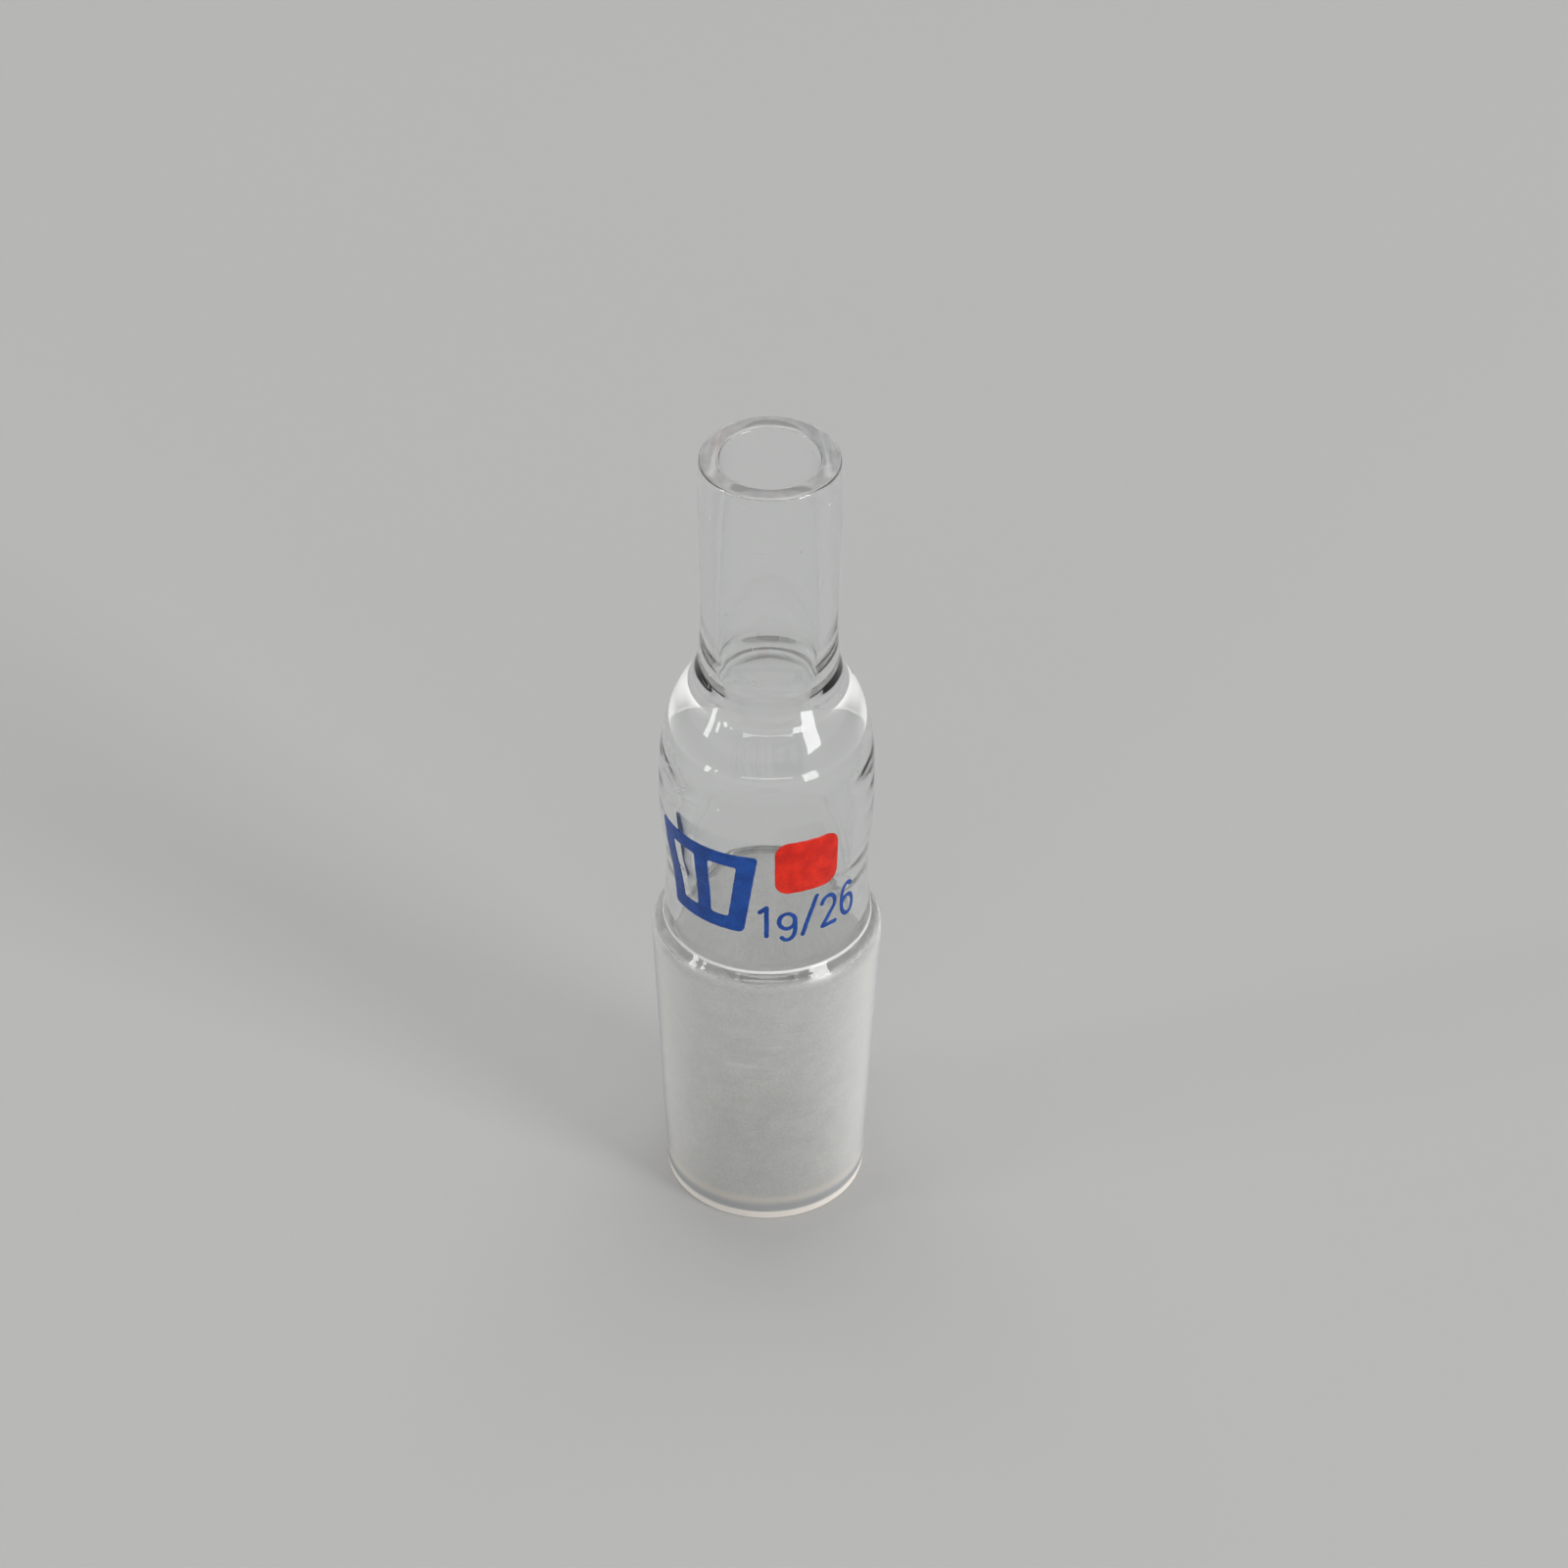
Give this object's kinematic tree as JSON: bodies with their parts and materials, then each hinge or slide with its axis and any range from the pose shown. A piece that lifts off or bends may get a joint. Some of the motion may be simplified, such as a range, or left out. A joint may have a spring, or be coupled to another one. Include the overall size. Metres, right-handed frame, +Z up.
{
  "type": "ground glass cone adapter",
  "caption": "Clear borosilicate cone adapter with a frosted 1:10 male joint, a waisted collar, a blown body, a plain narrow stem and printed size marks.",
  "frame": {"origin": "centre of the cone's flat lower rim, on the bore axis", "axes": "+Z up the bore axis from the ground cone to the stem, -Y towards the printed marks, +X to the right of them"},
  "size_m": [0.0186, 0.0186, 0.0723],
  "materials": {
    "ground_glass": "borosilicate glass with a finely ground, frosted outer face and a smooth bore",
    "clear_glass": "clear fire-polished borosilicate glass",
    "blue_enamel": "fired opaque blue glass enamel, glossy, about 0.1 mm thick",
    "red_enamel": "fired opaque red glass enamel, glossy, about 0.1 mm thick"
  },
  "bodies": {
    "root": {"ground_cone": "ground_glass", "clear_collar": "clear_glass", "blown_body": "clear_glass", "stem_tube": "clear_glass", "joint_symbol": "blue_enamel", "colour_patch": "red_enamel", "numeral_1": "blue_enamel", "numeral_9": "blue_enamel", "size_slash": "blue_enamel", "numeral_2": "blue_enamel", "numeral_6": "blue_enamel"}
  },
  "joints": []
}
